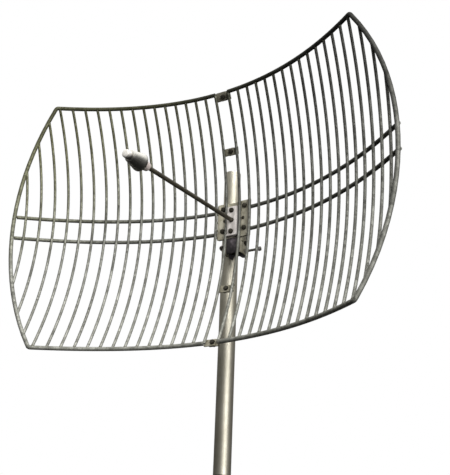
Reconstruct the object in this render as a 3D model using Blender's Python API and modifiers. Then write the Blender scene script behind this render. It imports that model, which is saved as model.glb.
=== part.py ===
"""Grid parabolic antenna on a tube mast, with a tilting hub.

Metres, +Z up. The origin is the middle of the mast's cut foot, the mast runs
up the Z axis and the reflector looks along -Y.
"""

from math import atan, cos, pi, radians, sin, sqrt

import bmesh
import bpy
from mathutils import Matrix, Vector

GAP = 0.0003

# Mast
MAST_RADIUS = 0.020
MAST_WALL = 0.0025
MAST_LENGTH = 0.735
PLUG_DEPTH = 0.012

# Vertex of the reflector, seen from the foot of the mast
VERTEX = Vector((0.050, -0.070, 0.571))

# Reflector: y = -(x^2 / 4 FOCUS_ACROSS + z^2 / 4 FOCUS_UP)
FOCUS_ACROSS = 0.290
FOCUS_UP = 0.337
HALF_WIDTH = 0.500
HALF_HEIGHT = 0.309
CORNER_X = 0.4035
CORNER_BEND = 0.004
SEAM_HALF = 0.0182
SECOND_WIRE = 0.0461
WIRE_PITCH = 0.027
WIRES_PER_HALF = 18
WIRE_RADIUS = 0.0034
WIRE_STEPS = 16
RAIL_RADIUS = 0.0049
RAIL_STEPS = 12
BRACE_HEIGHTS = (0.0308, -0.0232)
BRACE_RADIUS = 0.0045
BRACE_SET_BACK = 0.0065

# Lugs that join the halves at the seam
LUG_HEIGHTS = {"top": 0.301, "upper": 0.1745, "lower": -0.1690, "bottom": -0.3045}
LUG_TALL = 0.018
LUG_TOP_RISE = 0.004
LUG_THICK = 0.0025
LUG_PAST_SEAM = 0.0085

# Hub, in layers from front to back
HUB_Z = 0.0065
PLATE_TALL = 0.090
PLATE_THICK = 0.0028
PLATE_IN = 0.0163
PLATE_OUT = 0.0453
PLATE_FRONT = WIRE_RADIUS + GAP
PLATE_BOLT_X = 0.0293
PLATE_BOLT_HEIGHTS = {"upper": 0.0375, "lower": -0.0185}
RIVET_X = 0.0256
RIVET_Z = 0.0075
RIVET_RADIUS = 0.0020
RIVET_HEAD = 0.0040
CHANNEL_Z = 0.0005
CHANNEL_TALL = 0.073
CHANNEL_HALF = 0.0145
CHANNEL_FRONT = -0.0065
LIP_BACK = 0.0024
SHEET = 0.003
CENTRE_BOLT_RISE = 0.0265
BACK_PLATE_HALF = 0.0430

# Tilt bracket and its pivot
PIVOT_Y = 0.025
PIVOT_Z = -0.0695
LOCK_RISE = 0.020
TILT_LIMIT = radians(10)
CHEEK_IN = 0.0185
WEB_TOP = 0.047
WEB_BOTTOM = -0.034
CHEEK_STEP = -0.0390
CHEEK_FRONT = 0.0035
CHEEK_EYE = 0.009
CHEEK_FOOT = -0.0770
CHEEK_SLOT = (0.0065, 0.0155, -0.0503, -0.0477)
FRONT_PLATE_BOTTOM = -0.0770

# Six-millimetre bolts
BOLT_RADIUS = 0.003
BOLT_HOLE = 0.0034
NUT_RADIUS = 0.00577
NUT_THICK = 0.005
HEAD_THICK = 0.004
PIVOT_BOLT_END = 0.064
PIVOT_WASHER = 0.0068
PIVOT_WASHERS_THICK = 0.0048
PIVOT_NUT_END = 0.0625

# Mast clamp, seen from the vertex
CLAMP_PLATE_X = -0.024
CLAMP_PLATE_THICK = 0.004
CLAMP_PLATE_FRONT = 0.040
CLAMP_PLATE_BACK = 0.100
CLAMP_TOP = 0.032
CLAMP_BOTTOM = -0.058
CLAMP_FRONT_LOW = 0.0465
EAR_HALF = 0.0175
EAR_FRONT = 0.0165
EAR_NOSE = 0.0142
EAR_BACK = 0.040
EAR_TOP = -0.044
EAR_BOTTOM = -0.0835
EAR_WEB_BOTTOM = -0.066
ARM_BACK = 0.0595
ARM_HEIGHTS = (-0.0640, -0.0450)
U_BOLT_HEIGHTS = {"upper": 0.020, "lower": -0.035}
U_BOLT_END_X = -0.0135
SADDLE_TALL = 0.018

# Feed, measured along the boom from the vertex
BOOM_Z = 0.0023
BOOM_DROOP = radians(0.5)
BOOM_RADIUS = 0.0053
BOOM_HOLE = 0.0061
BOOM_BACK = -0.021
FEED_BACK = 0.332
FEED_DISC_BACK = 0.354
FEED_FRONT = 0.391
TIP_FRONT = 0.406

HEAD_ORIGIN = Vector((0.0, PIVOT_Y, PIVOT_Z))

collection = None


def clear_scene():
    for obj in list(bpy.data.objects):
        bpy.data.objects.remove(obj, do_unlink=True)


def new_collection(name):
    made = bpy.data.collections.new(name)
    bpy.context.scene.collection.children.link(made)
    return made


def material(name, colour, metallic, roughness):
    made = bpy.data.materials.new(name)
    made.use_nodes = True
    shader = made.node_tree.nodes["Principled BSDF"]
    shader.inputs["Base Color"].default_value = (*colour, 1.0)
    shader.inputs["Metallic"].default_value = metallic
    shader.inputs["Roughness"].default_value = roughness
    made.diffuse_color = (*colour, 1.0)
    return made


def new_object(name, mesh):
    obj = bpy.data.objects.new(name, mesh)
    collection.objects.link(obj)
    return obj


def finish(obj, name, finish_material, parent=None, at=(0.0, 0.0, 0.0)):
    """Name the piece, give it its material and hang it on its parent."""
    obj.name = name
    obj.data.name = name
    obj.data.materials.clear()
    obj.data.materials.append(finish_material)
    if obj.data.polygons:
        obj.data.shade_smooth()
        obj.data.set_sharp_from_angle(angle=radians(35))
    obj.parent = parent
    obj.location = Vector(at) - (HEAD_ORIGIN if parent is not None else Vector())
    return obj


def mesh_of_curve(curve_object):
    """The curve as a closed mesh object of its own, with its caps welded."""
    bpy.context.view_layer.update()
    graph = bpy.context.evaluated_depsgraph_get()
    mesh = bpy.data.meshes.new_from_object(curve_object.evaluated_get(graph))
    work = bmesh.new()
    work.from_mesh(mesh)
    bmesh.ops.remove_doubles(work, verts=work.verts, dist=0.00001)
    work.to_mesh(mesh)
    work.free()
    made = new_object(curve_object.name + "_mesh", mesh)
    made.matrix_world = curve_object.matrix_world
    bpy.data.objects.remove(curve_object, do_unlink=True)
    return made


def wire(name, points, radius, resolution):
    """A rod of round section through the points."""
    curve = bpy.data.curves.new(name, "CURVE")
    curve.dimensions = "3D"
    curve.bevel_depth = radius
    curve.bevel_resolution = resolution
    curve.use_fill_caps = True
    spline = curve.splines.new("POLY")
    spline.points.add(len(points) - 1)
    for place, point in zip(spline.points, points):
        place.co = (*point, 1.0)
    return mesh_of_curve(new_object(name, curve))


def ring_points(centre, radius, sides=16):
    return [
        (centre[0] + radius * cos(2 * pi * i / sides), centre[1] + radius * sin(2 * pi * i / sides))
        for i in range(sides)
    ]


def slab(name, outline, thickness, axis, middle, holes=()):
    """A flat piece cut from sheet: its outline and holes, and its normal axis.

    Across X the outline is (y, z), across Y it is (x, z), across Z it is (x, y).
    """
    curve = bpy.data.curves.new(name, "CURVE")
    curve.dimensions = "2D"
    curve.fill_mode = "BOTH"
    curve.extrude = thickness / 2
    for ring in (outline, *holes):
        spline = curve.splines.new("POLY")
        spline.points.add(len(ring) - 1)
        for place, (u, v) in zip(spline.points, ring):
            place.co = (u, v, 0.0, 1.0)
        spline.use_cyclic_u = True
    made = mesh_of_curve(new_object(name, curve))
    turn = {
        "X": Matrix(((0, 0, 1, middle), (1, 0, 0, 0), (0, 1, 0, 0), (0, 0, 0, 1))),
        "Y": Matrix(((1, 0, 0, 0), (0, 0, -1, middle), (0, 1, 0, 0), (0, 0, 0, 1))),
        "Z": Matrix.Translation((0, 0, middle)),
    }[axis]
    made.data.transform(turn)
    return made


def rectangle(low_u, high_u, low_v, high_v):
    return [(low_u, low_v), (high_u, low_v), (high_u, high_v), (low_u, high_v)]


def cylinder(name, start, end, radius, sides=12, turned=0.0):
    """A round or hexagonal bar between two points."""
    start, end = Vector(start), Vector(end)
    along = end - start
    work = bmesh.new()
    bmesh.ops.create_cone(
        work, cap_ends=True, segments=sides, radius1=radius, radius2=radius, depth=along.length
    )
    place = Matrix.Translation((start + end) / 2) @ along.to_track_quat("Z", "Y").to_matrix().to_4x4()
    bmesh.ops.transform(work, matrix=place @ Matrix.Rotation(turned, 4, "Z"), verts=work.verts)
    mesh = bpy.data.meshes.new(name)
    work.to_mesh(mesh)
    work.free()
    return new_object(name, mesh)


def cube(name, low, high):
    """A box between two corners."""
    outline = rectangle(low[0], high[0], low[1], high[1])
    return slab(name, outline, high[2] - low[2], "Z", (low[2] + high[2]) / 2)


def turned_piece(name, profile, sides=24):
    """A shape turned about the Z axis from (radius, height) pairs, top to bottom."""
    mesh = bpy.data.meshes.new(name)
    work = bmesh.new()
    points = [work.verts.new((radius, 0.0, height)) for radius, height in profile]
    for first, second in zip(points, points[1:]):
        work.edges.new((first, second))
    work.to_mesh(mesh)
    work.free()
    made = new_object(name, mesh)
    screw = made.modifiers.new("turn", "SCREW")
    screw.axis = "Z"
    screw.angle = 2 * pi
    screw.steps = sides
    screw.render_steps = sides
    screw.use_merge_vertices = True
    screw.merge_threshold = 0.00005
    return made


def baked(obj):
    """The object with its modifiers applied to its mesh."""
    bpy.context.view_layer.update()
    graph = bpy.context.evaluated_depsgraph_get()
    mesh = bpy.data.meshes.new_from_object(obj.evaluated_get(graph))
    obj.modifiers.clear()
    obj.data = mesh
    return obj


def combined(base, others, operation):
    """The base with the others joined to it or cut from it, as one mesh."""
    for other in others:
        step = base.modifiers.new(operation.lower(), "BOOLEAN")
        step.operation = operation
        step.solver = "EXACT"
        step.object = other
    baked(base)
    for other in others:
        bpy.data.objects.remove(other, do_unlink=True)
    return base


def joined_loose(objects):
    """One mesh object of several bodies that don't touch."""
    work = bmesh.new()
    for obj in objects:
        work.from_mesh(obj.data)
    first = objects[0]
    work.to_mesh(first.data)
    work.free()
    for other in objects[1:]:
        bpy.data.objects.remove(other, do_unlink=True)
    return first


def surface_y(x, z):
    return -(x * x / (4 * FOCUS_ACROSS) + z * z / (4 * FOCUS_UP))


def behind_surface(x, z, distance):
    """A point behind the reflector's surface, along its normal."""
    normal = Vector((x / (2 * FOCUS_ACROSS), 1.0, z / (2 * FOCUS_UP))).normalized()
    return Vector((x, surface_y(x, z), z)) + normal * distance


SIDE_SAG = HALF_WIDTH - CORNER_X
SIDE_RADIUS = (HALF_HEIGHT ** 2 + SIDE_SAG ** 2) / (2 * SIDE_SAG)
SIDE_CENTRE = HALF_WIDTH - SIDE_RADIUS


def side_x(z):
    return SIDE_CENTRE + sqrt(SIDE_RADIUS ** 2 - z * z)


def wire_reach(x):
    """Height at which a wire ends, on the top rail or on the side rail."""
    return min(HALF_HEIGHT, sqrt(SIDE_RADIUS ** 2 - (x - SIDE_CENTRE) ** 2))


def rail_outline():
    """(x, z) along the rail of one half, from the seam's top to its bottom."""
    upper = [
        (SEAM_HALF + (CORNER_X - CORNER_BEND - SEAM_HALF) * i / RAIL_STEPS, HALF_HEIGHT)
        for i in range(RAIL_STEPS + 1)
    ]
    low_corner = HALF_HEIGHT - CORNER_BEND
    corner = Vector((CORNER_X, HALF_HEIGHT))
    start, end = Vector(upper[-1]), Vector((side_x(low_corner), low_corner))
    bend = [
        tuple(start * (1 - t) ** 2 + corner * (2 * t * (1 - t)) + end * t ** 2)
        for t in (0.25, 0.5, 0.75)
    ]
    half = upper + bend
    side_top = low_corner
    side = [
        (side_x(side_top * (1 - 2 * i / RAIL_STEPS)), side_top * (1 - 2 * i / RAIL_STEPS))
        for i in range(RAIL_STEPS + 1)
    ]
    return half + side + [(x, -z) for x, z in reversed(half)]


def grid_half():
    """The right half of the reflector: rail, wires and braces welded into one."""
    rail = wire(
        "rail", [(x, surface_y(x, z), z) for x, z in rail_outline()], RAIL_RADIUS, 2
    )
    wires = []
    for number in range(WIRES_PER_HALF):
        x = SECOND_WIRE + (number - 1) * WIRE_PITCH if number else SEAM_HALF
        reach = wire_reach(x)
        heights = [reach * (2 * i / WIRE_STEPS - 1) for i in range(WIRE_STEPS + 1)]
        wires.append(wire("wire", [(x, surface_y(x, z), z) for z in heights], WIRE_RADIUS, 1))
    braces = []
    inner = PLATE_OUT + 2 * GAP
    for z in BRACE_HEIGHTS:
        outer = side_x(z)
        spots = [inner + (outer - inner) * i / WIRE_STEPS for i in range(WIRE_STEPS + 1)]
        path = [behind_surface(x, z, BRACE_SET_BACK) for x in spots]
        braces.append(wire("brace", path, BRACE_RADIUS, 2))
    panel = combined(rail, [joined_loose(wires)], "UNION")
    return combined(panel, [joined_loose(braces)], "UNION")


def mirrored(obj, name):
    """A copy of the piece reflected across the seam."""
    work = bmesh.new()
    work.from_mesh(obj.data)
    bmesh.ops.transform(work, matrix=Matrix.Scale(-1, 4, (1, 0, 0)), verts=work.verts)
    bmesh.ops.reverse_faces(work, faces=work.faces)
    mesh = bpy.data.meshes.new(name)
    work.to_mesh(mesh)
    work.free()
    return new_object(name, mesh)


def build_reflector(head, galvanised):
    right = finish(grid_half(), "right_grid", galvanised, head)
    finish(mirrored(right, "left_grid"), "left_grid", galvanised, head)


def bolt(name, head_at, nut_at, sides=10):
    """A hexagon bolt with its nut: it runs from under its head to past its nut."""
    head_at, nut_at = Vector(head_at), Vector(nut_at)
    along = (nut_at - head_at).normalized()
    start, end = head_at - along * 0.001, nut_at + along * (NUT_THICK + 0.003)
    shank = cylinder(name, start, end, BOLT_RADIUS, sides)
    head = cylinder("head", head_at - along * HEAD_THICK, head_at, NUT_RADIUS, 6)
    nut = cylinder("nut", nut_at, nut_at + along * NUT_THICK, NUT_RADIUS, 6)
    return combined(shank, [head, nut], "UNION")


def rivet(x, front, back):
    """A small rivet through the plates, flush at the back."""
    shank = cylinder("rivet", (x, front - 0.001, RIVET_Z), (x, back, RIVET_Z), RIVET_RADIUS)
    head = cylinder("head", (x, front - 0.0016, RIVET_Z), (x, front, RIVET_Z), RIVET_HEAD)
    return combined(shank, [head], "UNION")


def build_seam(head, galvanised, dark_steel):
    """Four pairs of lugs across the seam, each pair on one bolt."""
    for place, z in LUG_HEIGHTS.items():
        on_rail = place in ("top", "bottom")
        front = RAIL_RADIUS + GAP if on_rail else WIRE_RADIUS
        slope = atan(z / (2 * FOCUS_UP))
        reach = SEAM_HALF + WIRE_RADIUS
        half_tall = LUG_TALL / 2
        high = half_tall + (LUG_TOP_RISE if place == "top" else 0.0)
        behind = front + LUG_THICK + GAP
        layers = {
            "left": (rectangle(-reach, LUG_PAST_SEAM, -half_tall, high), front),
            "right": (rectangle(-LUG_PAST_SEAM, reach, -half_tall, high), behind),
        }
        seat = Vector((0.0, surface_y(SEAM_HALF, z), z))
        for side, (outline, y) in layers.items():
            hole = ring_points((0, 0), BOLT_HOLE)
            lug = slab("lug", outline, LUG_THICK, "Y", y + LUG_THICK / 2, [hole])
            finish(lug, f"{side}_seam_lug_{place}", galvanised, head, seat)
            lug.rotation_euler.x = slope
        back = front + 2 * LUG_THICK + GAP
        fastener = bolt("seam_bolt", (0, front - GAP, 0), (0, back + GAP, 0))
        finish(fastener, f"seam_bolt_{place}", dark_steel, head, seat)
        fastener.rotation_euler.x = slope


def build_hub(head, galvanised, zinc, dark_steel, dark_paint):
    plate_back = PLATE_FRONT + PLATE_THICK
    low, high = HUB_Z - PLATE_TALL / 2, HUB_Z + PLATE_TALL / 2
    heights = PLATE_BOLT_HEIGHTS.values()
    for side, sign in (("left", -1), ("right", 1)):
        edges = sorted((sign * PLATE_IN, sign * PLATE_OUT))
        holes = [ring_points((sign * PLATE_BOLT_X, z), BOLT_HOLE) for z in heights]
        holes.append(ring_points((sign * RIVET_X, RIVET_Z), RIVET_RADIUS + GAP))
        middle = PLATE_FRONT + PLATE_THICK / 2
        plate = slab("plate", rectangle(*edges, low, high), PLATE_THICK, "Y", middle, holes)
        finish(plate, f"{side}_hub_plate", galvanised, head)

    back_front = plate_back + GAP
    back_back = back_front + SHEET
    centre_heights = {"upper": CHANNEL_Z + CENTRE_BOLT_RISE, "lower": CHANNEL_Z - CENTRE_BOLT_RISE}
    centre_holes = [ring_points((0, z), BOLT_HOLE) for z in centre_heights.values()]
    boom_hole = ring_points((0, BOOM_Z), BOOM_HOLE, 20)
    side_holes = [
        ring_points((sign * PLATE_BOLT_X, z), BOLT_HOLE) for sign in (-1, 1) for z in heights
    ]
    side_holes += [
        ring_points((sign * RIVET_X, RIVET_Z), RIVET_RADIUS + GAP) for sign in (-1, 1)
    ]
    back_plate = slab(
        "back", rectangle(-BACK_PLATE_HALF, BACK_PLATE_HALF, low, high), SHEET, "Y",
        back_front + SHEET / 2, [*centre_holes, *side_holes, boom_hole],
    )
    finish(back_plate, "hub_back_plate", galvanised, head)

    channel_low, channel_high = CHANNEL_Z - CHANNEL_TALL / 2, CHANNEL_Z + CHANNEL_TALL / 2
    channel = slab(
        "channel", rectangle(-CHANNEL_HALF, CHANNEL_HALF, channel_low, channel_high), SHEET, "Y",
        CHANNEL_FRONT + SHEET / 2, [*centre_holes, boom_hole],
    )
    flanges = [
        slab(
            "flange", rectangle(CHANNEL_FRONT + SHEET / 2, back_front - GAP, channel_low, channel_high),
            SHEET, "X", sign * (CHANNEL_HALF - SHEET / 2),
        )
        for sign in (-1, 1)
    ]
    lip_low = (-CHANNEL_HALF, CHANNEL_FRONT, channel_low)
    lip = cube("lip", lip_low, (CHANNEL_HALF, LIP_BACK, channel_low + SHEET))
    finish(combined(channel, [*flanges, lip], "UNION"), "hub_channel", zinc, head)

    for side, sign in (("left", -1), ("right", 1)):
        for place, z in PLATE_BOLT_HEIGHTS.items():
            x = sign * PLATE_BOLT_X
            made = bolt("bolt", (x, PLATE_FRONT - GAP, z), (x, back_back + GAP, z))
            finish(made, f"{side}_hub_bolt_{place}", dark_steel, head)
        made = rivet(sign * RIVET_X, PLATE_FRONT - GAP, back_back - GAP)
        finish(made, f"{side}_hub_rivet", dark_steel, head)
    web_back = back_back + GAP + SHEET
    for place, z in centre_heights.items():
        made = bolt("bolt", (0, CHANNEL_FRONT - GAP, z), (0, web_back + GAP, z))
        finish(made, f"centre_bolt_{place}", dark_steel, head)
    build_tilt_bracket(
        head, galvanised, dark_paint, back_back + GAP, centre_holes, boom_hole
    )
    return web_back


def cheek_outline(front):
    """(y, z) of a cheek: narrow beside the web, broad at the slot, round at the pivot."""
    eye = [
        (PIVOT_Y + CHEEK_EYE * cos(radians(d)), PIVOT_Z + CHEEK_EYE * sin(radians(d)))
        for d in (-90, -68, -46, -24, 0, 20)
    ]
    return [
        (front, WEB_TOP), (front, CHEEK_STEP), (CHEEK_FRONT, CHEEK_STEP - 0.004),
        (CHEEK_FRONT, CHEEK_FOOT), *eye, (0.0355, -0.055), (0.0345, -0.047), (0.028, -0.040),
        (0.025, -0.030), (0.018, 0.0), (0.0158, WEB_TOP),
    ]


def arc_slot():
    """The lock bolt's slot: an arc about the pivot, a little longer than the range."""
    half_width = BOLT_HOLE + 0.0001
    swing = TILT_LIMIT + radians(1.5)
    steps = 4
    angles = [pi / 2 - swing + 2 * swing * i / steps for i in range(steps + 1)]
    far, near = LOCK_RISE + half_width, LOCK_RISE - half_width
    outer = [(PIVOT_Y + far * cos(a), PIVOT_Z + far * sin(a)) for a in angles]
    inner = [(PIVOT_Y + near * cos(a), PIVOT_Z + near * sin(a)) for a in angles]
    ends = []
    for a, sign in ((angles[-1], 1), (angles[0], -1)):
        middle = (PIVOT_Y + LOCK_RISE * cos(a), PIVOT_Z + LOCK_RISE * sin(a))
        ends.append([
            (middle[0] + half_width * cos(a + sign * b), middle[1] + half_width * sin(a + sign * b))
            for b in (pi / 4, pi / 2, 3 * pi / 4)
        ])
    return outer + ends[0] + inner[::-1] + ends[1][::-1]


def build_tilt_bracket(head, galvanised, dark_paint, web_front, centre_holes, boom_hole):
    cheek_out = CHEEK_IN + SHEET
    web = slab(
        "web", rectangle(-cheek_out, cheek_out, WEB_BOTTOM, WEB_TOP), SHEET, "Y",
        web_front + SHEET / 2, [*centre_holes, boom_hole],
    )
    pivot_hole = ring_points((PIVOT_Y, PIVOT_Z), BOLT_HOLE)
    cheeks = [
        slab(
            "cheek", cheek_outline(web_front), SHEET, "X", sign * (CHEEK_IN + SHEET / 2),
            [pivot_hole, arc_slot(), rectangle(*CHEEK_SLOT)],
        )
        for sign in (-1, 1)
    ]
    finish(combined(web, cheeks, "UNION"), "tilt_bracket", galvanised, head)
    half = CHEEK_IN - GAP
    top, bottom = HUB_Z - PLATE_TALL / 2 - GAP, FRONT_PLATE_BOTTOM
    front = cube("front", (-half, CHEEK_FRONT, bottom), (half, CHEEK_FRONT + SHEET, top))
    finish(front, "tilt_front_plate", dark_paint, head)


def along_boom(obj):
    """Lay a piece built up its Z axis along the boom, which hangs a little at its far end."""
    obj.rotation_euler.x = pi / 2 + BOOM_DROOP
    return obj


def build_feed(head, dark_steel, grey_plastic, cream_plastic, nickel, web_back):
    base = Vector((0.0, 0.0, BOOM_Z))
    boom = cylinder("boom", (0, 0, BOOM_BACK), (0, 0, FEED_BACK - GAP), BOOM_RADIUS, 16)
    along_boom(finish(boom, "feed_boom", dark_steel, head, base))

    collar = turned_piece("collar", [
        (0.0, FEED_DISC_BACK - GAP), (0.0115, FEED_DISC_BACK - GAP),
        (0.0115, FEED_DISC_BACK - 0.006), (0.0095, FEED_BACK), (0.0, FEED_BACK),
    ])
    along_boom(finish(collar, "feed_collar", cream_plastic, head, base))

    body = turned_piece("body", [
        (0.0, FEED_FRONT), (0.0115, FEED_FRONT), (0.0130, FEED_FRONT - 0.0015),
        (0.0190, FEED_DISC_BACK + 0.008), (0.0195, FEED_DISC_BACK + 0.006),
        (0.0195, FEED_DISC_BACK + 0.001), (0.0188, FEED_DISC_BACK), (0.0, FEED_DISC_BACK),
    ])
    along_boom(finish(body, "feed_body", grey_plastic, head, base))

    tip = turned_piece("tip", [
        (0.0, TIP_FRONT), (0.0075, TIP_FRONT), (0.0090, TIP_FRONT - 0.0015),
        (0.0090, FEED_FRONT + 0.004), (0.0065, FEED_FRONT + 0.003), (0.0065, FEED_FRONT + GAP),
        (0.0, FEED_FRONT + GAP),
    ])
    along_boom(finish(tip, "feed_tip", nickel, head, base))

    nut_front = -web_back - 0.0007
    nut = cylinder("nut", (0, 0, nut_front - 0.006), (0, 0, nut_front), 0.0104, 6)
    low, high = (0, 0, nut_front - 0.008), (0, 0, nut_front + 0.002)
    bore = cylinder("bore", low, high, BOOM_RADIUS + GAP, 16)
    along_boom(finish(combined(nut, [bore], "DIFFERENCE"), "boom_nut", nickel, head, base))

    back = BOOM_BACK - GAP
    socket = turned_piece("socket", [
        (0.0, back), (0.0080, back), (0.0080, back - 0.004), (0.0068, back - 0.0055),
        (0.0068, back - 0.0195), (0.0, back - 0.0195),
    ], 20)
    along_boom(finish(socket, "cable_connector", nickel, head, base))


def build_mast(steel, black_plastic):
    inner = MAST_RADIUS - MAST_WALL
    tube = slab(
        "tube", ring_points((0, 0), MAST_RADIUS, 36), MAST_LENGTH, "Z", MAST_LENGTH / 2,
        [ring_points((0, 0), inner, 36)],
    )
    finish(tube, "mast_tube", steel)
    radius = inner - GAP
    foot = slab("foot", ring_points((0, 0), radius, 36), PLUG_DEPTH, "Z", PLUG_DEPTH / 2)
    finish(foot, "mast_foot_plug", black_plastic)


def build_clamp(zinc, dark_paint, dark_steel):
    """What stays on the mast: bracket, saddles, U-bolts, pivot and lock bolts."""
    mast_x, mast_y = -VERTEX.x, -VERTEX.y
    bend = MAST_RADIUS + GAP + BOLT_RADIUS
    legs = (mast_y - bend, mast_y + bend)
    leg_holes = [
        ring_points((y, z), BOLT_HOLE) for y in legs for z in U_BOLT_HEIGHTS.values()
    ]
    plate = slab(
        "plate",
        [
            (CLAMP_FRONT_LOW, CLAMP_BOTTOM), (0.088, CLAMP_BOTTOM),
            (CLAMP_PLATE_BACK, CLAMP_BOTTOM + 0.012), (CLAMP_PLATE_BACK, CLAMP_TOP),
            (CLAMP_PLATE_FRONT, CLAMP_TOP), (CLAMP_PLATE_FRONT, -0.038), (CLAMP_FRONT_LOW, -0.044),
        ],
        CLAMP_PLATE_THICK, "X", CLAMP_PLATE_X + CLAMP_PLATE_THICK / 2, leg_holes,
    )
    ear_outline = [
        (EAR_FRONT, EAR_TOP), (EAR_FRONT, -0.070), (EAR_NOSE, -0.077), (EAR_NOSE, EAR_BOTTOM),
        (0.030, EAR_BOTTOM), (EAR_BACK, EAR_WEB_BOTTOM), (EAR_BACK, EAR_TOP),
    ]
    ear_holes = [
        ring_points((PIVOT_Y, z), BOLT_HOLE) for z in (PIVOT_Z, PIVOT_Z + LOCK_RISE)
    ]
    ears = [
        slab("ear", ear_outline, SHEET, "X", sign * (EAR_HALF - SHEET / 2), ear_holes)
        for sign in (-1, 1)
    ]
    web_low = (-EAR_HALF, EAR_BACK - SHEET, EAR_WEB_BOTTOM)
    web = cube("web", web_low, (EAR_HALF, EAR_BACK, EAR_TOP))
    arm_low = (CLAMP_PLATE_X + 0.001, EAR_BACK - SHEET / 2, ARM_HEIGHTS[0])
    arm = cube("arm", arm_low, (0.0, ARM_BACK, ARM_HEIGHTS[1]))
    bracket = combined(web, [*ears, arm, plate], "UNION")
    finish(bracket, "mast_bracket", dark_paint, None, VERTEX)

    saddle_back = CLAMP_PLATE_X - GAP
    hug = MAST_RADIUS + GAP
    curve = [
        (mast_x + hug * cos(radians(a)), mast_y + hug * sin(radians(a)))
        for a in range(50, -51, -10)
    ]
    outline = [(saddle_back, mast_y - 0.0165), (saddle_back, mast_y + 0.0165), *curve]
    nut_side = CLAMP_PLATE_X + CLAMP_PLATE_THICK + GAP
    for place, z in U_BOLT_HEIGHTS.items():
        saddle = slab("saddle", outline, SADDLE_TALL, "Z", z)
        finish(saddle, f"mast_saddle_{place}", zinc, None, VERTEX)
        turn = [
            (mast_x - bend * sin(pi * i / 12), mast_y - bend * cos(pi * i / 12), z)
            for i in range(13)
        ]
        path = [(U_BOLT_END_X, legs[0], z), *turn, (U_BOLT_END_X, legs[1], z)]
        loop = wire("loop", path, BOLT_RADIUS, 3)
        nuts = [
            cylinder("nut", (nut_side, y, z), (nut_side + NUT_THICK, y, z), NUT_RADIUS, 6)
            for y in legs
        ]
        finish(combined(loop, nuts, "UNION"), f"u_bolt_{place}", zinc, None, VERTEX)

    cheek_out = CHEEK_IN + SHEET + GAP
    end = (PIVOT_BOLT_END, PIVOT_Y, PIVOT_Z)
    under = -cheek_out - PIVOT_WASHERS_THICK
    pivot = cylinder("pivot", (under - 0.001, PIVOT_Y, PIVOT_Z), end, BOLT_RADIUS)
    washers = cylinder(
        "washers", (under - GAP, PIVOT_Y, PIVOT_Z), (-cheek_out, PIVOT_Y, PIVOT_Z), PIVOT_WASHER, 16
    )
    top, seat = (under - HEAD_THICK, PIVOT_Y, PIVOT_Z), (under, PIVOT_Y, PIVOT_Z)
    pivot_head = cylinder("head", top, seat, NUT_RADIUS, 6)
    finish(combined(pivot, [washers, pivot_head], "UNION"), "pivot_bolt", dark_steel, None, VERTEX)
    for name, x in (("pivot_nut", cheek_out), ("pivot_end_nut", PIVOT_NUT_END - NUT_THICK)):
        low, high = Vector((x, PIVOT_Y, PIVOT_Z)), Vector((x + NUT_THICK, PIVOT_Y, PIVOT_Z))
        past = Vector((0.001, 0.0, 0.0))
        nut = cylinder("nut", low, high, NUT_RADIUS, 6)
        bore = cylinder("bore", low - past, high + past, BOLT_RADIUS + GAP)
        finish(combined(nut, [bore], "DIFFERENCE"), name, zinc, None, VERTEX)

    lock_z = PIVOT_Z + LOCK_RISE
    lock = bolt("lock", (cheek_out, PIVOT_Y, lock_z), (-cheek_out, PIVOT_Y, lock_z), 12)
    finish(lock, "lock_bolt", dark_steel, None, VERTEX)


def build():
    global collection
    clear_scene()
    collection = new_collection("grid_parabolic_antenna")
    galvanised = material("galvanised_steel", (0.33, 0.32, 0.26), 0.75, 0.48)
    steel = material("mast_steel", (0.36, 0.34, 0.28), 0.85, 0.36)
    zinc = material("zinc_plate", (0.52, 0.51, 0.48), 0.9, 0.38)
    dark_steel = material("dark_steel", (0.06, 0.055, 0.05), 0.6, 0.45)
    dark_paint = material("dark_paint", (0.035, 0.033, 0.032), 0.1, 0.5)
    grey_plastic = material("grey_plastic", (0.20, 0.20, 0.19), 0.0, 0.3)
    cream_plastic = material("cream_plastic", (0.62, 0.57, 0.54), 0.0, 0.4)
    nickel = material("nickel", (0.62, 0.61, 0.58), 1.0, 0.25)
    black_plastic = material("black_plastic", (0.02, 0.02, 0.02), 0.0, 0.5)

    head = bpy.data.objects.new("tilt_axis", None)
    collection.objects.link(head)
    head.location = VERTEX + HEAD_ORIGIN

    build_mast(steel, black_plastic)
    build_clamp(zinc, dark_paint, dark_steel)
    build_reflector(head, galvanised)
    build_seam(head, galvanised, dark_steel)
    web_back = build_hub(head, galvanised, zinc, dark_steel, dark_paint)
    build_feed(head, dark_steel, grey_plastic, cream_plastic, nickel, web_back)


build()
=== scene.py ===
from math import atan, cos, pi, radians, sin, sqrt

import bmesh
import bpy
from mathutils import Matrix, Vector


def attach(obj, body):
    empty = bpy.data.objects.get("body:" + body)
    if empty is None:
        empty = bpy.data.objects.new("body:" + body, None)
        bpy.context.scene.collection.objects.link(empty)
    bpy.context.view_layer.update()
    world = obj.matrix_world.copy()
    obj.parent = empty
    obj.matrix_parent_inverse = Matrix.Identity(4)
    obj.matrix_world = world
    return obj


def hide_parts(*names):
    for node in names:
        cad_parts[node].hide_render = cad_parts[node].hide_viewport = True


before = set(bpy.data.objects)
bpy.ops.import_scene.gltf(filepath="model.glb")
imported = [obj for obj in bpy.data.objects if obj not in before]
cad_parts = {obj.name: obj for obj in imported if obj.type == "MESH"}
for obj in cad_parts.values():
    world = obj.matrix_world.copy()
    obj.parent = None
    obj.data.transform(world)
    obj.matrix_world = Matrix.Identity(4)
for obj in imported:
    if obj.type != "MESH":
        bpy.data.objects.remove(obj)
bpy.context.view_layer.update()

scene = bpy.context.scene
vertex = Vector((0.050, -0.070, 0.571))  # the reflector's vertex, from the mast's foot
gap = 0.0003  # clearance that the solids keep

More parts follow.
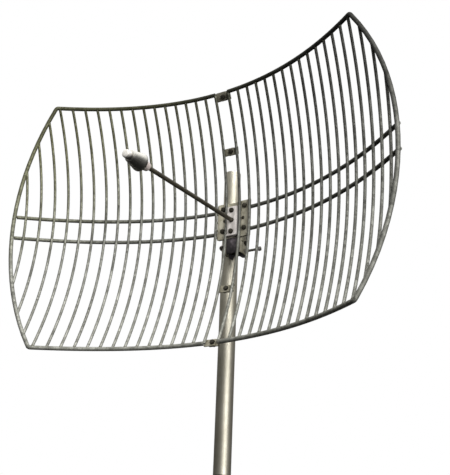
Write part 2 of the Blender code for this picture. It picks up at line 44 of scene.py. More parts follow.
view = {
    "place": (1.1022, -1.7044, -0.2360),
    "right": (0.84327, 0.53627, 0.03612),
    "down": (-0.16865, 0.32781, -0.92957),
    "ahead": (-0.51034, 0.77779, 0.36688),
    "lens": 67.93,
    "sensor": 36.0,
    "clip": (0.05, 60),
}


def aimCamera(settings):
    camera = bpy.data.objects.new("camera", bpy.data.cameras.new("camera"))
    back = -Vector(settings["ahead"])
    turn = Matrix((Vector(settings["right"]), -Vector(settings["down"]), back)).transposed()
    camera.matrix_world = Matrix.Translation(settings["place"]) @ turn.to_4x4()
    camera.data.sensor_fit = "VERTICAL"
    camera.data.sensor_height = settings["sensor"]
    camera.data.lens = settings["lens"]
    camera.data.clip_start, camera.data.clip_end = settings["clip"]
    scene.collection.objects.link(camera)
    scene.camera = camera


aimCamera(view)
print("camera set")

# Materials


def linear(hexColour):
    channels = [int(hexColour[i:i + 2], 16) / 255 for i in (1, 3, 5)]
    return [c / 12.92 if c <= 0.04045 else ((c + 0.055) / 1.055) ** 2.4 for c in channels] + [1.0]


def addNode(tree, kind, settings=None, inputs=None):
    # inputs holds a value, or a node's output, for each socket
    node = tree.nodes.new(kind)
    for key, value in (settings or {}).items():
        setattr(node, key, value)
    for key, value in (inputs or {}).items():
        if isinstance(value, bpy.types.NodeSocket):
            tree.links.new(value, node.inputs[key])
        else:
            node.inputs[key].default_value = value
    return node


def startMaterial(name, **shader):
    made = bpy.data.materials.new(name)
    made.use_nodes = True
    tree = made.node_tree
    tree.nodes.clear()
    surface = addNode(tree, "ShaderNodeBsdfPrincipled", inputs=shader)
    output = addNode(tree, "ShaderNodeOutputMaterial", inputs={"Surface": surface.outputs[0]})
    output.location = (300, 0)
    place = addNode(tree, "ShaderNodeTexCoord").outputs["Object"]
    return made, tree, surface, place


def ramp(tree, factor, stops):
    node = addNode(tree, "ShaderNodeValToRGB", inputs={"Fac": factor})
    for index, (position, colour) in enumerate(stops):
        stop = node.color_ramp.elements[index] if index < 2 else node.color_ramp.elements.new(position)
        stop.position = position
        stop.color = linear(colour)
    return node.outputs["Color"]


def threeTones(tree, factor, tones, low, high):
    # dark, middle and light, spread evenly from low to high
    dark, middle, light = tones.split()
    return ramp(tree, factor, [(low, dark), (high, light), ((low + high) / 2, middle)])


def metres(size):
    return 1.0 / size  # texture scale for a feature of this size


cloudLook = (4.0, 0.6)  # detail and roughness of the cloudy patches
grainDetail = 2.0
secondShare = 0.35  # of the second pattern, where two are blended


def noise(tree, place, size, detail, roughness=0.5):
    inputs = {"Vector": place, "Scale": metres(size), "Detail": detail, "Roughness": roughness}
    return addNode(tree, "ShaderNodeTexNoise", inputs=inputs).outputs["Fac"]


def blend(tree, first, second):
    inputs = {"Factor": secondShare, "A": first, "B": second}
    return addNode(tree, "ShaderNodeMix", {"data_type": "FLOAT"}, inputs).outputs[0]


def remap(tree, value, low, high, first, last):
    # low to high becomes first to last
    inputs = {"Value": value, "From Min": low, "From Max": high, "To Min": first, "To Max": last}
    return addNode(tree, "ShaderNodeMapRange", inputs=inputs).outputs[0]


def gainAlong(tree, place, fade):
    # a gain that runs from one end of a slope to the other
    along = addNode(tree, "ShaderNodeVectorMath", {"operation": "DOT_PRODUCT"}, {0: place, 1: fade["way"]})
    return remap(tree, along.outputs["Value"], fade["from"], fade["to"], *fade["gains"])


def fadeAlong(tree, place, colour, fade):
    # fades the colour's brightness, and with a tint also its saturation
    gains = {"Value": gainAlong(tree, place, fade)}
    if "tint" in fade:
        gains["Saturation"] = gainAlong(tree, place, fade["tint"])
    return addNode(tree, "ShaderNodeHueSaturation", inputs={"Color": colour, **gains}).outputs["Color"]


def dress(tree, surface, colour, rough, grain, strength, depth):
    # the grain becomes a bumpy skin
    skin = addNode(tree, "ShaderNodeBump", inputs={"Height": grain, "Strength": strength, "Distance": depth})
    for socket, value in (("Base Color", colour), ("Roughness", rough), ("Normal", skin.outputs[0])):
        tree.links.new(value, surface.inputs[socket])


fades = {
    # painted shade on the wires: darker towards the top and to the right, with painted light low down
    "wire": {
        "way": (0.32, 0.0, 1.0), "from": 0.270, "to": 0.900, "gains": (1.75, 0.31),
        # an olive cast at the upper left
        "tint": {"way": (-0.5, 0.0, 1.0), "from": 0.68, "to": 0.96, "gains": (0.9, 3.2)},
    },
    # painted shade on the lugs: darker towards the top
    "lug": {"way": (0.0, 0.0, 1.0), "from": 0.40, "to": 0.87, "gains": (1.0, 0.5)},
    # the left half's plates are paler
    "plate": {"way": (1.0, 0.0, 0.0), "from": 0.004, "to": 0.050, "gains": (1.42, 1.02)},
    # painted shade in the channel's right fold, darkening the zinc from there rightwards
    "channel": {"way": (1.0, 0.0, 0.0), "from": 0.060, "to": 0.0645, "gains": (1.0, 0.30)},
    # the front plate is paler towards its top and near black at its foot
    "dust": {"way": (0.0, 0.0, 1.0), "from": 0.496, "to": 0.530, "gains": (0.40, 2.6)},
    # painted light: the mast is palest at its top, darker low down
    "tube": {"way": (0.0, 0.0, 1.0), "from": 0.25, "to": 0.43, "gains": (0.92, 1.42)},
    # painted shade on the underside of the feed, painted light on its upper side
    "feed": {"way": (0.0, 0.0, 1.0), "from": 0.561, "to": 0.582, "gains": (0.65, 1.4)},
    # painted light on the tip's end and upper side, painted shade on its lower side
    "tip": {"way": (0.0, -1.0, 1.0), "from": 1.030, "to": 1.041, "gains": (0.08, 1.2)},
}

# sizes and depths in metres; tones go from dark to light
galvanising = {
    "spangle": 0.007, "mottle": 0.045, "grain": 0.0009, "rough": (0.40, 0.62),
    "strength": 0.5, "depth": 0.00012, "tone span": (0.28, 0.72), "rough span": (0.25, 0.75),
}


def galvanisedSteel(name, metallic, **changes):
    # hot-dipped zinc: dull grey crystals a few millimetres wide, cloudy patches, a grainy skin
    look = {**galvanising, **changes}
    made, tree, surface, place = startMaterial(name, Metallic=metallic)
    cells = {"Vector": place, "Scale": metres(look["spangle"])}
    crystals = addNode(tree, "ShaderNodeTexVoronoi", inputs=cells)
    clouds = noise(tree, place, look["mottle"], *cloudLook)
    tone = blend(tree, clouds, crystals.outputs["Color"])
    colour = threeTones(tree, tone, look["tones"], *look["tone span"])
    if "fade" in look:
        colour = fadeAlong(tree, place, colour, fades[look["fade"]])
    rough = remap(tree, tone, *look["rough span"], *reversed(look["rough"]))
    grain = noise(tree, place, look["grain"], grainDetail)
    dress(tree, surface, colour, rough, grain, look["strength"], look["depth"])
    return made


drawing = {
    "stretch": 0.02, "lines": 0.0022, "line detail": 3.0, "mottle": 0.06, "mottle look": (5.0, 0.65),
    "tones": "#8b877a #a09c8f #b5b1a5", "tone span": (0.30, 0.70),
    "rough": (0.42, 0.54), "rough span": (0.25, 0.75), "strength": 0.35, "depth": 0.00008,
}


def drawnTube(name):
    # galvanised tube: faint draw lines along its length, soft sheen, a little grime
    made, tree, surface, place = startMaterial(name, Metallic=1.0)
    look = drawing
    pull = {"Vector": place, "Scale": (1.0, 1.0, look["stretch"])}
    stretched = addNode(tree, "ShaderNodeMapping", inputs=pull)
    lines = noise(tree, stretched.outputs[0], look["lines"], look["line detail"])
    clouds = noise(tree, place, look["mottle"], *look["mottle look"])
    tone = blend(tree, clouds, lines)
    colour = threeTones(tree, tone, look["tones"], *look["tone span"])
    # painted light towards the mast's top, from the tube fade
    colour = fadeAlong(tree, place, colour, fades["tube"])
    rough = remap(tree, tone, *look["rough span"], *reversed(look["rough"]))
    dress(tree, surface, colour, rough, lines, look["strength"], look["depth"])
    return made


mottling = {"span": (0.3, 0.7), "strength": 0.4}


def mottledFinish(name, tones, metallic, rough, patch, grain, depth, fade=None):
    # a finish of one colour with cloudy patches and a fine skin: plating, paint or a moulding
    made, tree, surface, place = startMaterial(name, Metallic=metallic)
    clouds = noise(tree, place, patch, *cloudLook)
    colour = threeTones(tree, clouds, tones, *mottling["span"])
    if fade:
        colour = fadeAlong(tree, place, colour, fades[fade])
    gloss = remap(tree, clouds, *mottling["span"], *reversed(rough))
    skin = noise(tree, place, grain, grainDetail)
    dress(tree, surface, colour, gloss, skin, mottling["strength"], depth)
    return made


# name, tones, metallic, roughness, size of the patches and of the grain, depth of the grain, fade
mottled = {
    # bright zinc plate: pale, slightly blue-grey, soft reflections, with painted shade from the channel's
    # right fold rightwards
    "zinc": ("zincPlate", "#c4beb8 #d3cdc8 #e2ddd8", 0.25, (0.48, 0.62), 0.02, 0.0007, 0.00005, "channel"),
    # blackened steel: oil-black bolts with a dull shine
    "black steel": ("blackenedSteel", "#2b2822 #38352d #4a463c", 0.7, (0.36, 0.55), 0.018, 0.0008, 0.00006),
    # boom and pivot bolt: the same black worn to a dull grey-brown
    "boom": ("wornBlackSteel", "#37342b #454137 #544f43", 0.5, (0.40, 0.55), 0.02, 0.0008, 0.00006),
    # brushed-on black paint over plate: near black, satin, slightly violet
    "black paint": ("blackPaint", "#141213 #272325 #3c373a", 0.0, (0.42, 0.62), 0.012, 0.0012, 0.0001),
    # the same paint on the front plate, paler towards its top
    "black paint paler up": (
        "dustyBlackPaint", "#141213 #2b2729 #4a4448", 0.0, (0.42, 0.62), 0.012, 0.0012, 0.0001, "dust",
    ),
    # polished aluminium: mirrors the sky above and the dark ground below, with painted shade below and
    # painted light above
    "polished": (
        "polishedAluminium", "#b9b8b1 #cbc9c2 #d9d7d1", 1.0, (0.24, 0.34), 0.03, 0.0009, 0.00003, "feed",
    ),
    # ABS moulding, cream with a pink cast, soft gloss
    "cream": ("creamAbs", "#a39893 #b0a5a0 #bdb2ac", 0.0, (0.30, 0.42), 0.02, 0.0010, 0.00004),
    # nickel plate on brass: warm bright metal
    "nickel": ("nickelPlate", "#b5b0a4 #c5c0b4 #d3cec3", 1.0, (0.18, 0.28), 0.02, 0.0007, 0.00003),
    # the same plate on the feed's tip, with painted light on its end and upper side and painted shade below
    "scuffed nickel": (
        "scuffedNickel", "#cfcbc4 #dcd8d2 #e9e6e0", 0.4, (0.26, 0.38), 0.02, 0.0007, 0.00003, "tip",
    ),
    # polythene cap: matt black with a waxy skin
    "cap": ("blackPolythene", "#161615 #1d1d1c #262624", 0.0, (0.45, 0.6), 0.01, 0.0008, 0.00005),
    # white insulator in the socket
    "insulator": ("whitePtfe", "#dad7cf #e3e0d9 #ebe8e1", 0.0, (0.4, 0.5), 0.01, 0.0008, 0.00003),
    # studio floor: matt, nearly white
    "floor": ("paleFloor", "#ebebe9 #efefed #f2f2f0", 0.0, (0.8, 0.9), 0.3, 0.01, 0.0001),
}
finishes = {
    # wires worn dull; brackets, lugs and plates paler; weld beads darker, with a fine grain
    # the wire fade paints light low down and shade towards the top and to the right
    "wire": galvanisedSteel(
        "galvanisedWire", 0.8, tones="#575751 #6e6e67 #888881", rough=(0.58, 0.76), fade="wire",
    ),
    "cheek": galvanisedSteel("galvanisedBracket", 0.3, spangle=0.009, tones="#7d7967 #918c7a #a5a08f"),
    # the lug fade paints shade towards the top
    "lug": galvanisedSteel("galvanisedLug", 0.3, spangle=0.008, tones="#7d7967 #918c7a #a5a08f", fade="lug"),
    "plate": galvanisedSteel(
        "galvanisedPlate", 0.3, spangle=0.011, tones="#888372 #9f9a88 #b6b2a2", fade="plate",
    ),
    "weld": galvanisedSteel(
        "galvanisedWeld", 0.85, spangle=0.003, tones="#4d4b40 #6b695c #85847a", rough=(0.5, 0.7),
    ),
    "tube": drawnTube("galvanisedTube"),
    **{key: mottledFinish(*settings) for key, settings in mottled.items()},
}
print("materials made")

# Mesh tools

drillPast, cutPast = 0.001, 0.002  # how far a cutter passes a nut's and a plate's faces
doubles = 0.000002  # points nearer than this become one
smallSides = 28  # of holes, washers and rivets
thread = {"depth": 0.55, "nose": 0.0012, "sides": 20}  # depth as a share of the pitch
# how a nut's corners are turned, down in soft heights
turning = {"down": 1.6, "room": 0.0001, "sides": 48, "bore sides": 24}
softening = {"segments": 2, "angle": 40}


def spot(x, y, z):
    return Vector((x, y, z)) + vertex


def mergeInto(target, part, place=Matrix()):
    bmesh.ops.transform(part, matrix=place, verts=part.verts)
    carrier = bpy.data.meshes.new("carrier")
    part.to_mesh(carrier)
    part.free()
    target.from_mesh(carrier)
    bpy.data.meshes.remove(carrier)
    return target


def finishPiece(name, shape, body, finish, replaced=(), sharp=32):
    mesh = bpy.data.meshes.new(name)
    bmesh.ops.recalc_face_normals(shape, faces=shape.faces)
    shape.to_mesh(mesh)
    shape.free()
    mesh.shade_smooth()
    mesh.set_sharp_from_angle(angle=radians(sharp))
    mesh.materials.append(finishes[finish])
    piece = bpy.data.objects.new(name, mesh)
    scene.collection.objects.link(piece)
    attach(piece, body)
    if replaced:
        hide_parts(*replaced)
    return piece


def placed(shape, place):
    return mergeInto(bmesh.new(), shape, place)


def mirrorPiece(name, source, body, finish, replaced=()):
    shape = bmesh.new()
    shape.from_mesh(source.data)
    flip = Matrix.Translation((2 * vertex.x, 0, 0)) @ Matrix.Scale(-1, 4, (1, 0, 0))
    bmesh.ops.transform(shape, matrix=flip, verts=shape.verts)
    bmesh.ops.reverse_faces(shape, faces=shape.faces)
    return finishPiece(name, shape, body, finish, replaced)


def sweepRod(path, radius, sides):
    # a round rod bent through the points, one ring for each
    shape = bmesh.new()
    last = len(path) - 1
    ways = [(path[min(i + 1, last)] - path[max(i - 1, 0)]).normalized() for i in range(last + 1)]
    start = Matrix.Translation(path[0]) @ ways[0].to_track_quat("Z", "Y").to_matrix().to_4x4()
    bmesh.ops.create_circle(shape, segments=sides, radius=radius, matrix=start)
    edges = list(shape.edges)
    ends = [edges]
    for i in range(1, last + 1):
        grown = bmesh.ops.extrude_edge_only(shape, edges=edges)["geom"]
        ring = [item for item in grown if isinstance(item, bmesh.types.BMVert)]
        inRing = set(ring)
        edges = [e for e in grown if isinstance(e, bmesh.types.BMEdge) and set(e.verts) <= inRing]
        turn = ways[i - 1].rotation_difference(ways[i]).to_matrix()
        bmesh.ops.rotate(shape, cent=path[i - 1], matrix=turn, verts=ring)
        bmesh.ops.translate(shape, vec=path[i] - path[i - 1], verts=ring)
    ends.append(edges)
    for loop in ends:
        bmesh.ops.edgeloop_fill(shape, edges=loop)
    return shape


def spinProfile(profile, sides, place=Matrix()):
    # (radius, height) pairs turned about Z
    shape = bmesh.new()
    points = [shape.verts.new((radius, 0, height)) for radius, height in profile]
    lines = [shape.edges.new(pair) for pair in zip(points, points[1:])]
    bmesh.ops.spin(
        shape, geom=points + lines, axis=(0, 0, 1), cent=(0, 0, 0), angle=2 * pi, steps=sides, use_merge=True,
    )
    bmesh.ops.remove_doubles(shape, verts=shape.verts, dist=doubles)
    bmesh.ops.transform(shape, matrix=place, verts=shape.verts)
    return shape


def turned(profile, base, sides, place=Matrix()):
    # a profile closed to the axis at both ends, its heights measured from the base
    rows = [(radius, base + height) for radius, height in profile]
    return spinProfile([(0, rows[0][1]), *rows, (0, rows[-1][1])], sides, place)


def alongZ(start, way):
    # stands a shape that was made up its Z axis at a point, along a direction
    return Matrix.Translation(start) @ Vector(way).to_track_quat("Z", "Y").to_matrix().to_4x4()


def threadedRod(length, radius, pitch, plain=0.0):
    # a rod with a rounded nose and screw ridges beyond its plain part
    root, nose = radius - thread["depth"] * pitch, thread["nose"]
    profile = [(0, 0), (radius, 0), (radius, plain)]
    height = plain
    while height + pitch < length - nose:
        profile += [(root, height + pitch * 0.5), (radius, height + pitch)]
        height += pitch
    profile += [(root, length - nose / 2), (radius - nose, length), (0, length)]
    return spinProfile(profile, thread["sides"])


def roundBar(radius, low, high, sides, place=Matrix()):
    bar = bmesh.new()
    stand = place @ Matrix.Translation((0, 0, (low + high) / 2))
    bmesh.ops.create_cone(
        bar, cap_ends=True, segments=sides, radius1=radius, radius2=radius, depth=high - low, matrix=stand,
    )
    return bar


def hexagon(radius, height, soft, bore=0.0):
    # a nut or bolt head with its corners turned down, and a hole where it has one
    prism = roundBar(radius, 0, height, 6)
    flat, widest = radius - soft * turning["down"], radius + turning["room"]
    profile = [(flat, 0), (widest, soft), (widest, height - soft), (flat, height)]
    tools = [(turned(profile, 0, turning["sides"]), "INTERSECT")]
    if bore:
        drill = [(bore, -drillPast), (bore, height + drillPast)]
        tools.append((turned(drill, 0, turning["bore sides"]), "DIFFERENCE"))
    return cutAndSoften(prism, tools)


def standIn(shape):
    # a temporary object made of the shape
    mesh = bpy.data.meshes.new("blank")
    shape.to_mesh(mesh)
    shape.free()
    thing = bpy.data.objects.new("blank", mesh)
    scene.collection.objects.link(thing)
    return thing


def applied(thing):
    # the object's mesh with its modifiers, as a new shape
    bpy.context.view_layer.update()
    mesh = bpy.data.meshes.new_from_object(thing.evaluated_get(bpy.context.evaluated_depsgraph_get()))
    shape = bmesh.new()
    shape.from_mesh(mesh)
    bpy.data.meshes.remove(mesh)
    return shape


def cutAndSoften(shape, tools=(), edge=0.0):
    # booleans and a rounded edge, applied
    for each in (shape, *(tool for tool, operation in tools)):
        bmesh.ops.recalc_face_normals(each, faces=each.faces)
    blank = standIn(shape)
    spare = [blank]
    for tool, operation in tools:
        spare.append(standIn(tool))
        step = blank.modifiers.new("cut", "BOOLEAN")
        step.operation = operation
        step.object = spare[-1]
        step.solver = "EXACT"
    if edge:
        soft = blank.modifiers.new("edge", "BEVEL")
        soft.width = edge
        soft.segments = softening["segments"]
        soft.limit_method = "ANGLE"
        soft.angle_limit = radians(softening["angle"])
    result = applied(blank)
    for thing in spare:
        bpy.data.objects.remove(thing)
    return result


def raiseCopy(shape, grown, height):
    # moves what an extrusion made up the Z axis
    points = [item for item in grown["geom"] if isinstance(item, bmesh.types.BMVert)]
    bmesh.ops.translate(shape, vec=(0, 0, height), verts=points)


def prismOf(outline, low, high):
    # the outline in XY, drawn up Z
    shape = bmesh.new()
    face = shape.faces.new([shape.verts.new((u, v, low)) for u, v in outline])
    raiseCopy(shape, bmesh.ops.extrude_face_region(shape, geom=[face], use_keep_orig=True), high - low)
    return shape


def sheetPlate(outline, thickness, holes=(), corner=0.0015, edge=0.00035, slots=()):
    # plate cut from the outline, lying in XY from Z = 0 up; holes are (u, v, radius)
    shape = prismOf(outline, 0, thickness)
    if corner:
        upright = [e for e in shape.edges if abs(e.verts[0].co.z - e.verts[1].co.z) > thickness / 2]
        bmesh.ops.bevel(
            shape, geom=upright, offset=corner, segments=4, profile=0.5, affect="EDGES", material=-1,
        )
    low, high = -cutPast, thickness + cutPast
    cutters = []
    for u, v, radius in holes:
        cutters.append(roundBar(radius, low, high, smallSides, Matrix.Translation((u, v, 0))))
    cutters += [prismOf(slot, low, high) for slot in slots]
    return cutAndSoften(shape, [(cutter, "DIFFERENCE") for cutter in cutters], edge)


def rectangle(lowU, highU, lowV, highV):
    return [(lowU, lowV), (highU, lowV), (highU, highV), (lowU, highV)]


def around(middle, radius, angle):
    return middle[0] + radius * cos(angle), middle[1] + radius * sin(angle)


# plate axes to the part's: across Y takes (x, z), across X takes (y, z)
facingY = Matrix(((1, 0, 0, 0), (0, 0, -1, 0), (0, 1, 0, 0), (0, 0, 0, 1)))
facingX = Matrix(((0, 0, 1, 0), (1, 0, 0, 0), (0, 1, 0, 0), (0, 0, 0, 1)))


def onY(back):
    # a plate whose back face is at this Y and whose front looks along -Y
    return Matrix.Translation(spot(0, back, 0)) @ facingY


def onX(low):
    return Matrix.Translation(spot(low, 0, 0)) @ facingX


# Reflector

reflector = {
    "focus across": 0.290, "focus up": 0.337,
    "half width": 0.500, "half height": 0.309, "corner": 0.4035, "corner bend": 0.004,
    "seam": 0.0182, "second": 0.0461, "pitch": 0.027, "wires": 18, "wire radius": 0.0034,
    "rail radius": 0.0049, "braces": (0.0308, -0.0232), "brace radius": 0.0045, "brace back": 0.0065,
    "brace start": 0.0459, "brace short": 0.004, "brace steps": 30, "brace sides": 14,
    "rail steps": 22, "rail sides": 16, "wire steps": 26, "wire sides": 12,
    "corner stops": (0.17, 0.33, 0.5, 0.67, 0.83),
    # size of each weld bead and how far it is drawn out
    "rail weld": (0.0040, 1.15), "brace weld": (0.0037, 1.3), "end weld": (0.0030, 1.2),
    "weld spread": 0.0003, "weld sway": 0.15, "weld lean": -0.3, "rail hold": 0.75, "brace hold": (0.45, 0.4),
    "beats": (2.4, 1.7, 3.1, 90),  # they make the beads uneven along a row, and from row to row
}


def dishY(x, z):
    return -(x * x / (4 * reflector["focus across"]) + z * z / (4 * reflector["focus up"]))


def behindDish(x, z, distance):
    slope = Vector((x / (2 * reflector["focus across"]), 1.0, z / (2 * reflector["focus up"])))
    return spot(x, dishY(x, z), z) + slope.normalized() * distance


sag = reflector["half width"] - reflector["corner"]
sideRadius = (reflector["half height"] ** 2 + sag ** 2) / (2 * sag)
sideMiddle = reflector["half width"] - sideRadius


def sideX(z):
    return sideMiddle + sqrt(sideRadius ** 2 - z * z)


def wireReach(x):
    return min(reflector["half height"], sqrt(sideRadius ** 2 - (x - sideMiddle) ** 2))


def wireX(number):
    # the innermost wire stands off the even spacing of the rest
    return reflector["second"] + (number - 1) * reflector["pitch"] if number else reflector["seam"]


def railPath():
    steps = reflector["rail steps"]
    top, bend = reflector["half height"], reflector["corner bend"]
    start, corner = reflector["seam"], reflector["corner"]
    half = [(start + (corner - bend - start) * i / steps, top) for i in range(steps + 1)]
    first, middle, last = Vector(half[-1]), Vector((corner, top)), Vector((sideX(top - bend), top - bend))
    for t in reflector["corner stops"]:
        half.append(tuple(first * (1 - t) ** 2 + middle * (2 * t * (1 - t)) + last * t ** 2))
    heights = [(top - bend) * (1 - 2 * i / steps) for i in range(steps + 1)]
    flat = half + [(sideX(z), z) for z in heights] + [(x, -z) for x, z in reversed(half)]
    return [spot(x, dishY(x, z), z) for x, z in flat]


def bead(target, place, along, size, stretch):
    # one weld bead: a small blob, drawn out along its bar
    blob = bmesh.new()
    bmesh.ops.create_icosphere(blob, subdivisions=1, radius=size)
    bmesh.ops.scale(blob, vec=(1.0, 1.0, stretch), verts=blob.verts)
    mergeInto(target, blob, alongZ(place, along))


def buildReflector():
    r = reflector
    lean, spread = r["weld lean"], r["weld spread"]
    railBeat, swayBeat, braceBeat, rowBeat = r["beats"]
    wires, braces, beads = bmesh.new(), bmesh.new(), bmesh.new()
    for number in range(r["wires"]):
        x = wireX(number)
        reach = wireReach(x)
        heights = [reach * (2 * i / r["wire steps"] - 1) for i in range(r["wire steps"] + 1)]
        path = [spot(x, dishY(x, z), z) for z in heights]
        mergeInto(wires, sweepRod(path, r["wire radius"], r["wire sides"]))
        size, drawn = r["rail weld"]
        for sign in (-1, 1):
            endZ = sign * (reach - r["rail radius"] * r["rail hold"])
            along = (r["weld sway"] * sin(number * swayBeat), lean, 1)
            uneven = spread * sin(number * railBeat + sign)
            bead(beads, spot(x, dishY(x, endZ), endZ), along, size + uneven, drawn)
    for z in r["braces"]:
        start, end, steps = r["brace start"], sideX(z) - r["brace short"], r["brace steps"]
        stations = [start + (end - start) * i / steps for i in range(steps + 1)]
        path = [behindDish(x, z, r["brace back"]) for x in stations]
        mergeInto(braces, sweepRod(path, r["brace radius"], r["brace sides"]))
        atWire, atEnd = (r["brace back"] * share for share in r["brace hold"])
        size, drawn = r["brace weld"]
        for number in range(2, r["wires"]):  # the two innermost wires have the hub's welds
            uneven = spread * sin(number * braceBeat + z * rowBeat)
            bead(beads, behindDish(wireX(number), z, atWire), (0, lean, 1), size + uneven, drawn)
        bead(beads, behindDish(end, z, atEnd), (1, 0, 0), *r["end weld"])
    shapes = {
        "rim": (sweepRod(railPath(), r["rail radius"], r["rail sides"]), "wire", 32),
        "wires": (wires, "wire", 45),
        "braces": (braces, "wire", 45),
        "welds": (beads, "weld", 180),
    }
    made = {}
    for part, (shape, finish, sharp) in shapes.items():
        made[part] = finishPiece(
            f"right_{part}", shape, "head", finish, ["right_grid"], sharp,
        )
    for part, (shape, finish, sharp) in shapes.items():
        mirrorPiece(f"left_{part}", made[part], "head", finish, ["left_grid"])


buildReflector()
print("reflector built")

# Fastenings

six = {
    "radius": 0.003, "shank": 0.0029, "across": 0.00577, "nut": 0.005, "head": 0.004, "soft": 0.0006,
    "pitch": 0.001, "past nut": 0.003, "washer": 0.0061, "washer thick": 0.0007, "washer edge": 0.0002,
}


def washerRing(radius, thick, edge, sides):
    profile = [(radius, 0), (radius, thick - edge), (radius - edge, thick)]
    return turned(profile, 0, sides)


def boltShape(headAt, nutAt):
    # head, shank with ridges past the nut, nut and thin washers
    headAt, nutAt = Vector(headAt), Vector(nutAt)
    way = (nutAt - headAt).normalized()
    grip = (nutAt - headAt).length
    across, soft, thin = six["across"], six["soft"], six["washer thick"]
    long = grip + six["nut"] + six["past nut"]
    shank = threadedRod(long, six["shank"], six["pitch"], grip / 2)
    shape = bmesh.new()
    mergeInto(shape, hexagon(across, six["head"] - thin, soft), alongZ(headAt - way * six["head"], way))
    mergeInto(shape, shank, alongZ(headAt, way))
    mergeInto(shape, hexagon(across, six["nut"] - thin, soft), alongZ(nutAt + way * thin, way))
    for base in (headAt - way * thin, nutAt):
        ring = washerRing(six["washer"], thin, six["washer edge"], smallSides)
        mergeInto(shape, ring, alongZ(base, way))
    return shape


# Seam lugs

lugs = {
    "heights": {"top": 0.301, "upper": 0.1745, "lower": -0.1690, "bottom": -0.3045},
    "tall": 0.018, "top rise": 0.004, "thick": 0.0025, "past": 0.0085, "past wire": 0.0006,
    "hole": 0.0034, "corner": 0.002, "weld": (0.0021, 1.5), "weld rows": (-0.4, 0.4), "weld out": 0.0004,
}


def buildLugs():
    s, r = lugs, reflector
    reach = r["seam"] + s["past wire"]
    sides = {"left": bmesh.new(), "right": bmesh.new()}
    bolts, welds = bmesh.new(), bmesh.new()
    for place, z in s["heights"].items():
        front = r["rail radius"] + gap if place in ("top", "bottom") else r["wire radius"]
        lean = Matrix.Rotation(atan(z / (2 * r["focus up"])), 4, "X")
        seat = Matrix.Translation(spot(0, dishY(r["seam"], z), z)) @ lean
        layers = {
            "left": (-1, (-reach, s["past"]), front),
            "right": (1, (-s["past"], reach), front + s["thick"] + gap),
        }
        high = s["tall"] / 2 + (s["top rise"] if place == "top" else 0.0)
        for side, (sign, span, y) in layers.items():
            outline = rectangle(*span, -s["tall"] / 2, high)
            plate = sheetPlate(outline, s["thick"], [(0, 0, s["hole"])], s["corner"])
            mergeInto(sides[side], plate, seat @ Matrix.Translation((0, y + s["thick"], 0)) @ facingY)
            for row in s["weld rows"]:
                foot = seat @ Vector((sign * r["seam"], y - s["weld out"], row * s["tall"]))
                bead(welds, foot, (0, 0, 1), *s["weld"])
        back = front + 2 * s["thick"] + gap
        mergeInto(bolts, boltShape((0, front - gap, 0), (0, back + gap, 0)), seat)
    for side, shape in sides.items():
        nodes = [f"{side}_seam_lug_{place}" for place in s["heights"]]
        finishPiece(f"{side}_seam_lugs", shape, "head", "lug", nodes)
    nodes = [f"seam_bolt_{place}" for place in s["heights"]]
    finishPiece("seam_bolts", bolts, "head", "black steel", nodes)
    finishPiece("lug_welds", welds, "head", "weld", sharp=180)


buildLugs()
print("seam lugs built")

# Hub

hub = {
    "middle": 0.0065, "tall": 0.090, "plate": 0.0028, "inner": 0.0163, "outer": 0.0453,
    "bolt x": 0.0293, "bolt rows": (0.0375, -0.0185), "bolt hole": 0.0034,
    "rivet x": 0.0256, "rivet z": 0.0075, "rivet": 0.0020,
    "rivet head": [(0.0028, -0.0016), (0.0037, -0.0009), (0.0040, -0.0002), (0.0040, 0.0)],
    "channel middle": 0.0005, "channel tall": 0.073, "channel half": 0.0145, "channel front": -0.0065,
    "fold": 0.0045, "edge": 0.0004, "lip back": 0.0024, "lip inset": 0.0005, "lip edge": 0.0006,
    "sheet": 0.003, "centre rise": 0.0265, "back half": 0.0430, "boom hole": 0.0061, "boom z": 0.0023,
    "weld": (0.0017, 2.6), "weld ends": (0.006, 0.024), "weld sides": (0.0018, 0.0020), "weld out": 0.0006,
}
plateFront = reflector["wire radius"] + gap
plateBack = plateFront + hub["plate"]
backFront = plateBack + gap
backBack = backFront + hub["sheet"]
webFront = backBack + gap
webBack = webFront + hub["sheet"]
# the bolts above and below the boom, and the holes that the middle sheets share
centres = (hub["channel middle"] + hub["centre rise"], hub["channel middle"] - hub["centre rise"])
centreHoles = [(0, z, hub["bolt hole"]) for z in centres] + [(0, hub["boom z"], hub["boom hole"])]


def foldedChannel(half, front, back, low, high, sheet, bend, holes):
    # a U of sheet seen from above: flanges back, web in front, bends rounded
    shape = bmesh.new()
    corners = ((-half, back), (-half, front), (half, front), (half, back))
    points = [shape.verts.new((x, y, low)) for x, y in corners]
    lines = [shape.edges.new(pair) for pair in zip(points, points[1:])]
    raiseCopy(shape, bmesh.ops.extrude_edge_only(shape, edges=lines), high - low)
    folds = [e for e in shape.edges if len(e.link_faces) == 2]
    bmesh.ops.bevel(shape, geom=folds, offset=bend, segments=5, profile=0.5, affect="EDGES", material=-1)
    bmesh.ops.recalc_face_normals(shape, faces=shape.faces)
    web = max(shape.faces, key=lambda f: -f.calc_center_median().y)
    if web.normal.y > 0:
        bmesh.ops.reverse_faces(shape, faces=shape.faces)
    folded = standIn(shape)
    wall = folded.modifiers.new("wall", "SOLIDIFY")
    wall.thickness = sheet
    wall.offset = -1
    wall.use_even_offset = True
    solid = applied(folded)
    bpy.data.objects.remove(folded)
    tools = []
    for x, z, radius in holes:
        stand = Matrix.Translation((x, front + sheet / 2, z)) @ Matrix.Rotation(pi / 2, 4, "X")
        tools.append((roundBar(radius, -2 * sheet, 2 * sheet, smallSides, stand), "DIFFERENCE"))
    return cutAndSoften(solid, tools, hub["edge"])


